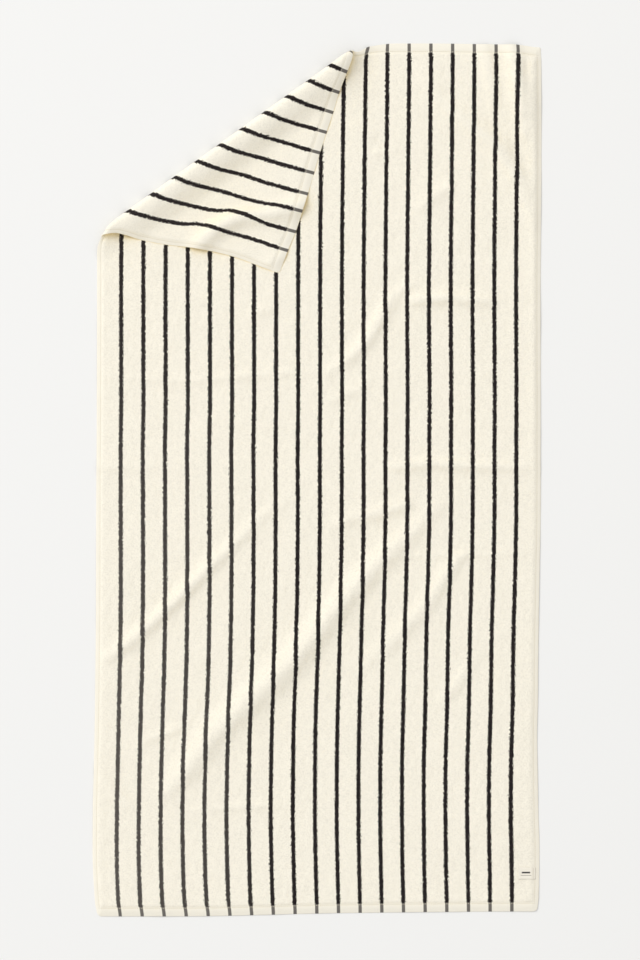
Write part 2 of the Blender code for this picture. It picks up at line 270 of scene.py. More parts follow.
def run_of(q, drop):
    """Run reached by length q of cloth on the way down from the roll."""
    x = q.copy()
    for _ in range(4):
        xx = np.clip(x, 0, SETTLE)
        used = (drop * math.pi / SETTLE) ** 2 / 8 * (xx - SETTLE / (2 * math.pi)
                                                    * np.sin(2 * math.pi * xx / SETTLE))
        x = q - used
    return x


# ridges of the turned corner: crest points across and along the fold, height mm, half-width mm
CORNER_RIDGES = [
    [(0.1189, 0.1040, 5, 14), (0.1130, 0.1220, 8.0, 15), (0.1094, 0.1480, 10.0, 15), (0.1110, 0.1720, 10.0, 15), (0.1175, 0.1960, 8.8, 15), (0.1321, 0.2317, 7.6, 15), (0.1464, 0.2661, 7.2, 15), (0.1561, 0.2940, 7.0, 15)],
    [(0.1979, 0.1779, 1, 9), (0.1995, 0.1961, 1.8, 10), (0.2030, 0.2170, 1.8, 10), (0.2028, 0.2327, 1, 9)],
]

# how the corner's cloth is pulled about: across its stripes (rows u, columns v), mm
PULL_V = [.405, .43, .46, .48, .50, .52, .54, .56, .58, .60, .62, .64, .66, .685]
PULL_U = [-.350, -.3114, -.2768, -.2422, -.2076, -.1730, -.1384, -.1038, -.05]
PULL = np.array([
    [4.5, 4.0, 1.1, 1.2, 2.0, 4.1, 6.4, 7.7, 8.6, 8.5, 7.2, 4.7, 1.9, -.3],
    [0, 0, .4, .2, 1.1, 3.4, 8.0, 8.6, 7.4, 6.5, 5.8, 4.4, 2.5, .9],
    [0, 0, 0, 0, 0, 0, .5, 2.7, 7.2, 7.4, 4.7, 1.4, .5, 0],
    [0, 0, 0, 0, 0, 0, .3, .4, -.5, -1.7, -1.9, -.5, .6, .9],
    [0, 0, 0, 0, 0, 0, 0, .3, .4, -.8, -2.2, -3.0, -3.8, -3.8],
    [0, 0, 0, 0, 0, 0, 0, 0, 0, 0, -.9, -1.4, -1.9, -2.2],
    [0, 0, 0, 0, 0, 0, 0, 0, 0, 0, -.3, -.9, -1.6, -1.7],
    [0, 0, 0, 0, 0, 0, 0, 0, 0, 0, 0, -.5, -.3, -.3],
    [0, 0, 0, 0, 0, 0, 0, 0, 0, 0, 0, 0, 0, 0]]) * 1e-3
# and along them, at the hem's edge
REACH_U = [-.350, -.309, -.275, -.241, -.208, -.140, -.070, -.033, .005, .06]
REACH_MM = [-.0018, .0002, .0030, .0032, .0033, .0010, -.0012, -.0066, -.0135, -.0165]
LENGTHWAYS = 2 * ALONG[1] * ALONG - np.array([0.0, 1.0])
SIDEWAYS = np.array([-LENGTHWAYS[1], LENGTHWAYS[0]])


def pull(u, v):
    rows = np.stack([curve(v, PULL_V, row) for row in PULL])
    x = np.clip(u, PULL_U[0], PULL_U[-1])
    out = np.zeros(u.shape)
    for i in range(len(PULL_U) - 1):
        t = (x - PULL_U[i]) / (PULL_U[i + 1] - PULL_U[i])
        inside = (t >= 0) & (t <= 1)
        t = t * t * (3 - 2 * t)
        out = np.where(inside, rows[i] + (rows[i + 1] - rows[i]) * t, out)
    return out


def heave(x, y):
    """Both layers together stand a little off the floor at the fold's two open ends."""
    out = 0
    for cx, cy, height, right, down in ((.037, .688, .0100, .050, .105), (-.345, .384, .0056, .040, .046)):
        p = np.hypot((x - cx) / right, (y - cy) / down)
        out = out + height * np.clip(1 - p * p, 0, 1) ** 2
    return out


TIP_N, TIP_C = 0.2216, 0.1948          # where the corner's point lies, across and along the fold


def mid(u, v, full=False):
    """Middle of the cloth's thickness at pattern point (u, v), laid in place."""
    s, c, r, a, wide, low = fold_coords(u, v)
    back = np.maximum(s, 0)
    dx, dy = drift(u + back * INWARD[0], v + back * INWARD[1])
    flat = np.stack([u, v, T / 2 + rise(u, v) * smooth(-a - low, 0, .03)], -1)
    # swinging up
    t = quarter_angle(wide / r, -a / low)
    n = T / 2 + wide * (1 - np.cos(t))
    n = n - early(c) * smooth(-a / low, 0, 1)
    z = r + T / 2 - r * np.sin(t)
    settled = np.sin(t)
    # over the top
    phi = np.clip(a / r, 0, math.pi / 2)
    over = a > 0
    n = np.where(over, T / 2 + r * (1 - np.cos(phi)), n)
    z = np.where(over, r + T / 2 + r * np.sin(phi), z)
    settled = np.where(over, 0, settled)
    # and down
    q = a - math.pi / 2 * r
    top = 2 * r + T / 2
    x = run_of(np.maximum(q, 0), top - REST)
    way = np.clip(x / SETTLE, 0, 1)
    past = q > 0
    n = np.where(past, r + T / 2 + x * SHORT, n)
    z = np.where(past, REST + (top - REST) * 0.5 * (1 + np.cos(math.pi * way)), z)
    settled = np.where(past, 1 - 0.5 * (1 + np.cos(math.pi * way)), settled)
    cc = c + SKEW * np.maximum(a, 0)
    ridges = np.zeros(u.shape)
    for points in CORNER_RIDGES:
        ridges = ridges + crease(n, cc, points)
    z = z + ridges * smooth(a, .02, .06)
    # the open end at the left side draws in and rounds off
    end = np.exp(-(np.maximum(c, 0) / .013) ** 1.6) * smooth(1 + a / low, .35, 1.0) * np.exp(-(np.maximum(a, 0) / .035) ** 2)
    n = n + .0070 * end
    # and the one at the far end is drawn in a little as well
    beyond = np.exp(-(np.maximum(FOLD_LEN - c, 0) / .020) ** 1.6 - (np.maximum(c - FOLD_LEN, 0) / .006) ** 2)
    n = n + .0042 * beyond * smooth(1 + a / low, .35, 1.0) * np.exp(-(np.maximum(a, 0) / .030) ** 2)
    # the fold's outer line has slid along itself
    lie = np.exp(-(np.abs(a) / np.where(a > 0, .038, .020)) ** 1.5) * smooth(1 + a / low, 0, .6)
    cc = cc + .0097 * lie * curve(c / FOLD_LEN, [-.02, .095, .264, .52, .69, .77, .857, .94, 1.0, 1.018],
                                  [.35, .72, .94, 1.08, 1.18, 1.18, 1.10, .66, -.90, 0])
    folded = np.stack([START[0] + ALONG[0] * cc + INWARD[0] * n,
                       START[1] + ALONG[1] * cc + INWARD[1] * n, z], -1)
    side = pull(u, v) * smooth(a, -.002, .026)
    down = curve(u, REACH_U, REACH_MM) * smooth(a, .0, .10)
    for i in (0, 1):
        folded[..., i] += SIDEWAYS[i] * side + LENGTHWAYS[i] * down
    lying = a < -low
    out = np.where(lying[..., None], flat, folded)
    out[..., 0] += dx
    out[..., 1] += dy
    out[..., 2] += heave(out[..., 0], out[..., 1])
    if full:
        return out, np.where(lying, 1.0, settled), a
    return out


def _fit_tip():
    """How much shorter and how far askew the corner lies than a neat fold would put it."""
    global SHORT, SKEW
    SHORT, SKEW = 1.0, 0.0
    u, v = np.array([-W / 2]), np.array([L / 2])
    s, c, r, a, _, _ = fold_coords(u, v)
    x = run_of(a - math.pi / 2 * r, 2 * r + T / 2 - REST)
    SHORT = float((TIP_N - (r + T / 2)[0]) / x[0])
    SKEW = float((TIP_C - c[0]) / a[0])


_fit_tip()


def round_corners(u, v):
    """Pulls the pattern's square corners in to rounded ones."""
    radius = np.where(v > 0, np.where(u > 0, .0035, .006), np.where(u > 0, .0065, .0075))
    uu, vv = np.abs(u) - (W / 2 - radius), np.abs(v) - (L / 2 - radius)
    p, q = np.clip(uu / radius, 0, 1), np.clip(vv / radius, 0, 1)
    inside = (uu > 0) & (vv > 0)
    p2, q2 = p * np.sqrt(1 - q * q / 2), q * np.sqrt(1 - p * p / 2)
    return (np.where(inside, np.sign(u) * (W / 2 - radius + p2 * radius), u),
            np.where(inside, np.sign(v) * (L / 2 - radius + q2 * radius), v))


def thickness(u, v):
    """(thickness, thickness without the stitches' groove, 1 in the hems)"""
    end, side = L / 2 - np.abs(v), W / 2 - np.abs(u)
    hem = 1 - smooth(end, END_HEM - .0010, END_HEM + .0026) * smooth(side, SIDE_HEM - .0010, SIDE_HEM + .0034)
    plain = T + (HEM_T - T) * hem
    row = np.minimum(np.abs(end - (END_HEM - STITCH_IN)), np.abs(side - (SIDE_HEM - STITCH_IN)))
    groove = 0.0004 * np.exp(-(row / .0009) ** 2) * hem
    rim = np.minimum(end, side)
    edge = (.32 * np.sqrt(np.clip(1 - (1 - np.clip(rim / .0008, 0, 1)) ** 2, 0, 1))
            + .68 * np.clip(rim / .0078, 0, 1))
    return (plain - groove) * edge, plain * edge, hem


def surface(u, v, step=0.0004):
    """(middle, unit normal towards the face, along u, along v) at pattern points."""
    ru, rv = round_corners(u, v)
    p, settled, _ = mid(ru, rv, full=True)
    tu = mid(ru + step, rv) - mid(ru - step, rv)
    tv = mid(ru, rv + step) - mid(ru, rv - step)
    tu /= np.linalg.norm(tu, axis=-1, keepdims=True)
    tv /= np.linalg.norm(tv, axis=-1, keepdims=True)
    n = np.cross(tu, tv)
    n /= np.linalg.norm(n, axis=-1, keepdims=True)
    # thin places lie down on what is under them
    p[..., 2] -= (T - thickness(u, v)[1]) / 2 * settled
    return p, n, tu, tv


# ------------------------------------------------------------------ mesh helpers
def grid_lines(half, edge, step):
    inner = half - edge[-1]
    count = int(round(2 * inner / step))
    middle = np.linspace(-inner, inner, count + 1)
    side = half - np.array(edge[:-1])
    return np.concatenate([-side, middle, side[::-1]])


def new_object(name, verts, faces, smooth_shade=True):
    mesh = bpy.data.meshes.new(name)
    faces = np.asarray(faces, np.int32)
    mesh.vertices.add(len(verts))
    mesh.vertices.foreach_set("co", np.asarray(verts, np.float32).ravel())
    mesh.loops.add(faces.size)
    mesh.loops.foreach_set("vertex_index", faces.ravel())
    mesh.polygons.add(len(faces))
    mesh.polygons.foreach_set("loop_start", np.arange(0, faces.size, faces.shape[1], dtype=np.int32))
    mesh.polygons.foreach_set("loop_total", np.full(len(faces), faces.shape[1], np.int32))
    mesh.update(calc_edges=True)
    if smooth_shade:
        mesh.shade_smooth()
    obj = bpy.data.objects.new(name, mesh)
    bpy.context.collection.objects.link(obj)
    return obj


def put(obj, verts):
    obj.data.vertices.foreach_set("co", np.asarray(verts, np.float32).ravel())
    obj.data.update()


def bend_with_fold(obj, past, verts):
    """Sets the piece's points at their distance past the fold's outer line, bakes in the object's transform, then lays
    the piece in place.
    """
    line = np.zeros((len(past), 3))
    line[:, 0] = past
    put(obj, line)
    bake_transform(obj)
    put(obj, verts)


def point_attribute(obj, name, kind, values):
    att = obj.data.attributes.new(name, kind, "POINT")
    key = "vector" if kind == "FLOAT_VECTOR" else "value"
    att.data.foreach_set(key, np.asarray(values, np.float32).ravel())


# ------------------------------------------------------------------ node helpers
class Graph:
    def __init__(self, name):
        self.mat = bpy.data.materials.new(name)
        self.mat.use_nodes = True
        self.t = self.mat.node_tree
        self.shader = self.t.nodes["Principled BSDF"]

    def node(self, kind, **props):
        n = self.t.nodes.new(kind)
        for k, v in props.items():
            setattr(n, k, v)
        return n

    def set(self, socket, value):
        if isinstance(value, bpy.types.NodeSocket):
            self.t.links.new(value, socket)
        else:
            socket.default_value = value

    def math(self, op, a, b=None, c=None, clamp=False):
        n = self.node("ShaderNodeMath", operation=op, use_clamp=clamp)
        for i, x in enumerate((a, b, c)):
            if x is not None:
                self.set(n.inputs[i], x)
        return n.outputs[0]

    def vec(self, op, a, b=None, scale=None):
        n = self.node("ShaderNodeVectorMath", operation=op)
        self.set(n.inputs[0], a)
        if b is not None:
            self.set(n.inputs[1], b)
        if scale is not None:
            self.set(n.inputs["Scale"], scale)
        return n.outputs[0]

    def ramp(self, x, lo, hi, a=0.0, b=1.0, kind="SMOOTHSTEP"):
        n = self.node("ShaderNodeMapRange", interpolation_type=kind)
        for key, val in (("Value", x), ("From Min", lo), ("From Max", hi), ("To Min", a), ("To Max", b)):
            self.set(n.inputs[key], val)
        return n.outputs[0]

    def painted_fold_shade(self, color):
        """Painted shade: where the cloth is hemmed in by other cloth, as in folds, creases and under the turned
        corner, its colour is tinted warmer and darker, standing in for light that has gone from cloth to cloth.
        """
        ao = self.node("ShaderNodeAmbientOcclusion", samples=8, only_local=True)
        ao.inputs["Distance"].default_value = 0.080
        shade_depth = self.ramp(ao.outputs["AO"], 0.68, 0.985, 1.0, 0.0, kind="LINEAR")
        return self.mix(shade_depth, color, self.vec("MULTIPLY", color, (1.06, 0.945, 0.66)))

    def mix(self, fac, a, b, kind="MIX"):
        n = self.node("ShaderNodeMix", data_type="RGBA", blend_type=kind)
        self.set(n.inputs["Factor"], fac)
        self.set(n.inputs[6], a)
        self.set(n.inputs[7], b)
        return n.outputs[2]

    def noise(self, vector, scale, detail=2.0, rough=0.5, dims="3D"):
        n = self.node("ShaderNodeTexNoise", noise_dimensions=dims)
        self.set(n.inputs["Vector"], vector)
        n.inputs["Scale"].default_value = scale
        n.inputs["Detail"].default_value = detail
        n.inputs["Roughness"].default_value = rough
        return n.outputs[0]

    def attribute(self, name):
        return self.node("ShaderNodeAttribute", attribute_type="GEOMETRY", attribute_name=name)

    def xyz(self, v):
        n = self.node("ShaderNodeSeparateXYZ")
        self.set(n.inputs[0], v)
        return n.outputs


CREAM = (0.912, 0.864, 0.748, 1)
INK = (0.0135, 0.0100, 0.0105, 1)


def stripe_mask(g, u, wobble, half, soft):
    """1 on a stripe: u is measured across them, wobble (m) shifts the edges."""
    k = g.math("DIVIDE", u, PITCH)
    off = g.math("ABSOLUTE", g.math("SUBTRACT", k, g.math("ROUND", k)))
    d = g.math("ADD", g.math("MULTIPLY", off, PITCH), wobble)
    on = g.ramp(d, half - soft, half + soft, 1.0, 0.0)
    inside = g.math("LESS_THAN", g.math("ABSOLUTE", u), REACH)
    return g.math("MULTIPLY", on, inside)


def terry():
    g = Graph("terry")
    pat = g.attribute("pattern").outputs["Vector"]
    painted_sheen = g.attribute("painted_sheen").outputs["Fac"]
    # each loop of the pile is one cell, about 1.5 mm
    swirl = g.node("ShaderNodeTexNoise", noise_dimensions="3D")
    g.set(swirl.inputs["Vector"], pat)
    swirl.inputs["Scale"].default_value = 260
    swirl.inputs["Detail"].default_value = 1
    moved = g.vec("ADD", pat, g.vec("SCALE", g.vec("SUBTRACT", swirl.outputs["Color"], (0.5, 0.5, 0.5)), scale=0.0016))
    cell = g.node("ShaderNodeTexVoronoi", voronoi_dimensions="3D", feature="F1")
    g.set(cell.inputs["Vector"], moved)
    cell.inputs["Scale"].default_value = 1 / 0.00150
    cell.inputs["Randomness"].default_value = 0.9
    near, tone, where = cell.outputs["Distance"], cell.outputs["Color"], cell.outputs["Position"]
    rand = g.xyz(tone)
    u = g.xyz(where)[0]
    wob = g.math("MULTIPLY", g.math("SUBTRACT", g.noise(pat, 360, 2, 0.65), 0.5), 0.0046)
    mask = stripe_mask(g, u, wob, 0.00335, 0.00025)
    slow = g.noise(pat, 16, 3, 0.55)
    patch = g.noise(pat, 90, 2, 0.5)
    bright = g.math("ADD", 0.975, g.math("MULTIPLY", rand[0], 0.05))
    bright = g.math("ADD", bright, g.math("MULTIPLY", g.math("SUBTRACT", slow, 0.5), 0.04))
    bright = g.math("ADD", bright, g.math("MULTIPLY", g.math("SUBTRACT", patch, 0.5), 0.05))
    cream = g.vec("SCALE", CREAM[:3], scale=bright)
    ink = g.vec("SCALE", INK[:3], scale=g.math("ADD", 0.5, g.math("MULTIPLY", rand[1], 1.3)))
    # painted sheen: the dark stripes are mixed towards a light grey where light glances off the pile, towards the
    # lower left
    ink = g.mix(painted_sheen, ink, (0.16, 0.145, 0.13, 1))
    col = g.mix(mask, cream, ink)
    # painted shade between the pile's loops: the colour darkens by up to a tenth towards each loop's edge
    loop_shade = g.ramp(near, 0.35, 0.85, 1.0, 0.90)
    # the terry's colour gets painted fold shade where the cloth is hemmed in
    g.set(g.shader.inputs["Base Color"], g.painted_fold_shade(g.vec("SCALE", col, scale=loop_shade)))
    dome = g.math("SUBTRACT", 1.0, g.math("MULTIPLY", near, near))
    height = g.math("ADD", dome, g.math("MULTIPLY", g.noise(pat, 1500, 2, 0.6), 0.6))
    bump = g.node("ShaderNodeBump")
    bump.inputs["Strength"].default_value = 0.55
    bump.inputs["Distance"].default_value = 0.0004
    g.set(bump.inputs["Height"], height)
    g.set(g.shader.inputs["Normal"], bump.outputs[0])
    g.set(g.shader.inputs["Roughness"], g.math("ADD", 0.86, g.math("MULTIPLY", rand[2], 0.12)))
    g.shader.inputs["Specular IOR Level"].default_value = 0.12
    g.shader.inputs["Sheen Weight"].default_value = 0.05
    g.shader.inputs["Sheen Roughness"].default_value = 0.55
    g.shader.inputs["Sheen Tint"].default_value = (1.0, 0.97, 0.90, 1)
    return g.mat


def flat_weave(name, tint, striped):
    """Hem cloth: a fine plain weave with no pile."""
    g = Graph(name)
    pat = g.attribute("pattern").outputs["Vector"]
    xyz = g.xyz(pat)
    k = 2 * math.pi / 0.0011
    across = g.math("SINE", g.math("MULTIPLY", xyz[0], k))
    down = g.math("SINE", g.math("MULTIPLY", xyz[1], k * 0.9))
    weave = g.math("MULTIPLY", across, down)
    fleck = g.noise(pat, 900, 2, 0.6)
    patch = g.noise(pat, 60, 2, 0.5)
    bright = g.math("ADD", 0.93, g.math("MULTIPLY", weave, 0.035))
    bright = g.math("ADD", bright, g.math("MULTIPLY", fleck, 0.09))
    bright = g.math("ADD", bright, g.math("MULTIPLY", g.math("SUBTRACT", patch, 0.5), 0.05))
    col = g.vec("SCALE", tint[:3], scale=bright)
    if striped:
        wob = g.math("MULTIPLY", g.math("SUBTRACT", g.noise(pat, 500, 2, 0.6), 0.5), 0.0007)
        mask = stripe_mask(g, xyz[0], wob, 0.0027, 0.00035)
        grey = g.vec("SCALE", (0.155, 0.143, 0.130), scale=g.math("ADD", 0.7, g.math("MULTIPLY", fleck, 0.6)))
        col = g.mix(mask, col, grey)
    # the hem cloth's colour gets painted fold shade where it is hemmed in
    g.set(g.shader.inputs["Base Color"], g.painted_fold_shade(col))
    bump = g.node("ShaderNodeBump")
    bump.inputs["Strength"].default_value = 0.6
    bump.inputs["Distance"].default_value = 0.00018
    g.set(bump.inputs["Height"], g.math("ADD", weave, g.math("MULTIPLY", fleck, 0.8)))
    g.set(g.shader.inputs["Normal"], bump.outputs[0])
    g.set(g.shader.inputs["Roughness"], g.ramp(fleck, 0.2, 0.8, 0.80, 0.95))
    g.shader.inputs["Specular IOR Level"].default_value = 0.15
    g.shader.inputs["Sheen Weight"].default_value = 0.04
    return g.mat


def cotton_thread():
    g = Graph("hem_thread")
    where = g.node("ShaderNodeTexCoord").outputs["Object"]
    fleck = g.noise(where, 2500, 2, 0.6)
    col = g.vec("SCALE", (0.70, 0.64, 0.50), scale=g.math("ADD", 0.82, g.math("MULTIPLY", fleck, 0.32)))
    g.set(g.shader.inputs["Base Color"], col)
    g.set(g.shader.inputs["Roughness"], g.ramp(fleck, 0.2, 0.8, 0.55, 0.75))
    bump = g.node("ShaderNodeBump")
    bump.inputs["Strength"].default_value = 0.5
    bump.inputs["Distance"].default_value = 0.0001
    g.set(bump.inputs["Height"], fleck)
    g.set(g.shader.inputs["Normal"], bump.outputs[0])
    g.shader.inputs["Sheen Weight"].default_value = 0.1
    return g.mat


def label_cloth():
    g = Graph("label_cloth")
    pat = g.attribute("pattern").outputs["Vector"]
    xyz = g.xyz(pat)
    ribs = g.math("SINE", g.math("MULTIPLY", xyz[1], 2 * math.pi / 0.0006))
    fleck = g.noise(pat, 1800, 2, 0.6)
    col = g.vec("SCALE", (0.90, 0.85, 0.74), scale=g.math("ADD", 0.92, g.math("MULTIPLY", fleck, 0.14)))
    # a plain woven mark: one short dark bar with a thin grey one under it
    def bar(cx, cy, hx, hy):
        a = g.ramp(g.math("ABSOLUTE", g.math("SUBTRACT", xyz[0], cx)), hx - .0002, hx + .0002, 1.0, 0.0)
        b = g.ramp(g.math("ABSOLUTE", g.math("SUBTRACT", xyz[1], cy)), hy - .0002, hy + .0002, 1.0, 0.0)
        return g.math("MULTIPLY", a, b)
    col = g.mix(bar(0.0, 0.0010, 0.0058, 0.0013), col, (0.045, 0.038, 0.036, 1))
    col = g.mix(g.math("MULTIPLY", bar(0.0, -0.0035, 0.0074, 0.0005), 0.7), col, (0.20, 0.17, 0.14, 1))
    g.set(g.shader.inputs["Base Color"], col)
    bump = g.node("ShaderNodeBump")
    bump.inputs["Strength"].default_value = 0.5
    bump.inputs["Distance"].default_value = 0.0001
    g.set(bump.inputs["Height"], g.math("ADD", ribs, fleck))
    g.set(g.shader.inputs["Normal"], bump.outputs[0])
    g.set(g.shader.inputs["Roughness"], g.ramp(fleck, 0.2, 0.8, 0.45, 0.65))
    return g.mat


TERRY = terry()
END_WEAVE = flat_weave("end_hem_weave", (0.93, 0.885, 0.772), True)
SIDE_WEAVE = flat_weave("side_hem_weave", (0.93, 0.88, 0.762), False)
THREAD = cotton_thread()
LABEL = label_cloth()


# ------------------------------------------------------------------ the cloth
def make_towel():
    step = 0.0024
    ulines = grid_lines(W / 2, [0, .00010, .00035, .00080, .00130, .0024, .0038, .0048, .0055, .0060,
                                .0065, .0072, .0080, .0088, .0100, .0120], step)
    vlines = grid_lines(L / 2, [0, .00010, .00035, .00080, .00130, .0028, .0050, .0075, .0100, .0115, .0124,
                                .0130, .0136, .0143, .0150, .0158, .0170, .0190], step)
    nu, nv = len(ulines), len(vlines)
    u, v = np.meshgrid(ulines, vlines, indexing="ij")
    p, n, _, _ = surface(u, v)
    t, _, hem = thickness(u, v)
    pile = 1 - hem
    rim = smooth(np.minimum(L / 2 - np.abs(v), W / 2 - np.abs(u)), 0, .002)
    fine = np.random.default_rng(5).normal(0, 1, (2,) + u.shape)
    w1, w2, w3, w4 = Waves(.012, 11), Waves(.030, 12), Waves(.012, 13), Waves(.030, 14)
    up = t / 2 + pile * rim * (fine[0] * .00010 + w1(u, v) * .00010 + w2(u, v) * .00010)
    dn = t / 2 + pile * rim * (fine[1] * .00010 + w3(u, v) * .00010 + w4(u, v) * .00010) * .6
    top = p + n * up[..., None]
    bot = p - n * dn[..., None]
    bot[..., 2] = np.maximum(bot[..., 2], .00002)

    index = np.arange(nu * nv).reshape(nu, nv)
    low = np.full((nu, nv), -1)
    low[0, :], low[-1, :], low[:, 0], low[:, -1] = index[0, :], index[-1, :], index[:, 0], index[:, -1]
    free = np.zeros((nu, nv), bool)
    free[1:-1, 1:-1] = True
    low[free] = nu * nv + np.arange(free.sum())
    verts = np.concatenate([top.reshape(-1, 3), bot[free]])
    q = lambda g: np.stack([g[:-1, :-1], g[1:, :-1], g[1:, 1:], g[:-1, 1:]], -1).reshape(-1, 4)
    faces = np.concatenate([q(index), q(low)[:, ::-1]])
    obj = new_object("towel_cloth", verts, faces)

    pu = np.concatenate([u.ravel(), u[free]])
    pv = np.concatenate([v.ravel(), v[free]])
    side = np.concatenate([np.zeros(nu * nv), np.ones(free.sum())])
    point_attribute(obj, "pattern", "FLOAT_VECTOR", np.stack([pu, pv, side * 0.37], -1))
    # painted sheen: how far the stripes are lightened, growing towards the lower left where light glances off the pile
    painted_sheen = .52 * (curve(-pu, [.035, .09, .13, .175, .22, .28, .33], [0, .12, .42, .60, .66, .82, 1])
                  * curve(-pv, [-.30, -.17, -.08, .02, .11, .21, .40, .5], [.10, .24, .44, .65, .78, .86, .97, 1]))
    point_attribute(obj, "painted_sheen", "FLOAT", painted_sheen)

    # which cloth each face is
    mu = (ulines[:-1] + ulines[1:]) / 2
    mv = (vlines[:-1] + vlines[1:]) / 2
    fu, fv = np.meshgrid(mu, mv, indexing="ij")
    kind = np.where(L / 2 - np.abs(fv) < END_HEM + .0002, 1, np.where(W / 2 - np.abs(fu) < SIDE_HEM + .0002, 2, 0))
    for m in (TERRY, END_WEAVE, SIDE_WEAVE):
        obj.data.materials.append(m)
    obj.data.polygons.foreach_set("material_index", np.concatenate([kind.ravel(), kind.ravel()]).astype(np.int32))

    # a flat map for baking: the face beside the reverse
    uv = obj.data.uv_layers.new(name="OFBake")
    fx = (pu / W + 0.5)
    fy = (pv / L + 0.5)
    corners = faces.ravel()
    count = q(index).size
    x = fx[corners] * 0.49
    x[:count] += 0.0
    x[count:] = 0.51 + fx[corners[count:]] * 0.49
    uvs = np.stack([x, fy[corners]], -1).astype(np.float32)
    uv.data.foreach_set("uv", uvs.ravel())

    ru, rv = round_corners(pu, pv)
    past = fold_coords(ru, rv)[3]
    bend_with_fold(obj, past, verts)
    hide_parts("terry_panel", "near_end_hem", "far_end_hem", "left_side_hem", "right_side_hem",
                "fold_under_half", "fold_over_half", "corner_terry", "corner_end_hem", "corner_side_hem")
    return obj


# ------------------------------------------------------------------ stitches
def capsule(length, width, height, rings=7, sides=8):
    """One stitch, along x, sinking at both ends."""
    verts, faces = [], []
    for i in range(rings):
        t = i / (rings - 1)
        x = (t - .5) * length
        k = math.sin(math.pi * (0.06 + 0.88 * t)) ** 0.55
        for j in range(sides):
            a = 2 * math.pi * j / sides
            verts.append((x, math.cos(a) * width / 2 * k, math.sin(a) * height / 2 * k - (1 - k) * height * .8))
    for i in range(rings - 1):
        for j in range(sides):
            k = (j + 1) % sides
            faces.append((i * sides + j, (i + 1) * sides + j, (i + 1) * sides + k, i * sides + k))
    for j in range(1, sides - 1):
        faces.append((0, j, j + 1, j + 1))
        last = (rings - 1) * sides
        faces.append((last, last + j + 1, last + j, last + j))
    return np.array(verts), faces


def stitch_row(name, path, nodes, body=None, pitch=0.0031, both=True):
    """path: (u0, v0, u1, v1) in the pattern. body None: the row crosses the fold."""
    u0, v0, u1, v1 = path
    length = math.hypot(u1 - u0, v1 - v0)
    count = int(length / pitch)
    t = (np.arange(count) + .5) / count
    jit = np.random.default_rng(len(name) * 7 + count)
    u = u0 + (u1 - u0) * t + jit.normal(0, .00008, count)
    v = v0 + (v1 - v0) * t + jit.normal(0, .00008, count)
    p, n, tu, tv = surface(u, v)
    thick = thickness(u, v)[0]
    du, dv = (u1 - u0) / length, (v1 - v0) / length
    along = tu * du + tv * dv
    along /= np.linalg.norm(along, axis=-1, keepdims=True)
    shape, quads = capsule(pitch * .78, .00065, .00045)
    verts, faces = [], []
    for sign in ((1, -1) if both else (1,)):
        nn = n * sign
        across = np.cross(nn, along)
        base = p + nn * (thick / 2 + .00012)[:, None]
        turn = jit.normal(0, .05, count)[:, None]
        a2 = along * np.cos(turn) + across * np.sin(turn)
        c2 = np.cross(nn, a2)
        pts = (base[:, None, :] + shape[None, :, 0:1] * a2[:, None, :] + shape[None, :, 1:2] * c2[:, None, :]
               + shape[None, :, 2:3] * nn[:, None, :])
        start = sum(len(x) for x in verts)
        verts.append(pts.reshape(-1, 3))
        f = np.array([q if q[2] != q[3] else q for q in quads])
        offs = start + np.arange(count)[:, None, None] * len(shape)
        faces.append((f[None] + offs).reshape(-1, 4))
    verts = np.concatenate(verts)
    verts[:, 2] = np.maximum(verts[:, 2], .00003)
    faces = np.concatenate(faces)
    mesh = bpy.data.meshes.new(name)
    mesh.from_pydata([tuple(x) for x in verts], [], [tuple(f[:3]) if f[2] == f[3] else tuple(f) for f in faces.tolist()])
    mesh.shade_smooth()
    obj = bpy.data.objects.new(name, mesh)
    bpy.context.collection.objects.link(obj)
    obj.data.materials.append(THREAD)
    if body:
        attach(obj, body)
    else:
        a = fold_coords(u, v)[3]
        past = np.tile(np.repeat(a, len(shape)), 2 if both else 1)
        bend_with_fold(obj, past, verts)
    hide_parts(*nodes)
    return obj


def make_stitching():
    y = L / 2 - END_HEM + STITCH_IN
    x = W / 2 - SIDE_HEM + STITCH_IN
    inner = L / 2 - END_HEM
    return [
        stitch_row("near_end_thread", (-W / 2 + .004, -y, W / 2 - .004, -y), ["near_end_stitching"], "towel"),
        stitch_row("right_side_thread", (x, -inner, x, inner), ["right_side_stitching"], "towel"),
        stitch_row("far_end_thread", (W / 2 - .004, y, -W / 2 + .004, y),
                   ["far_end_stitching", "corner_end_stitching"]),
        stitch_row("left_side_thread", (-x, -inner, -x, inner),
                   ["left_side_stitching", "corner_side_stitching"]),
    ]


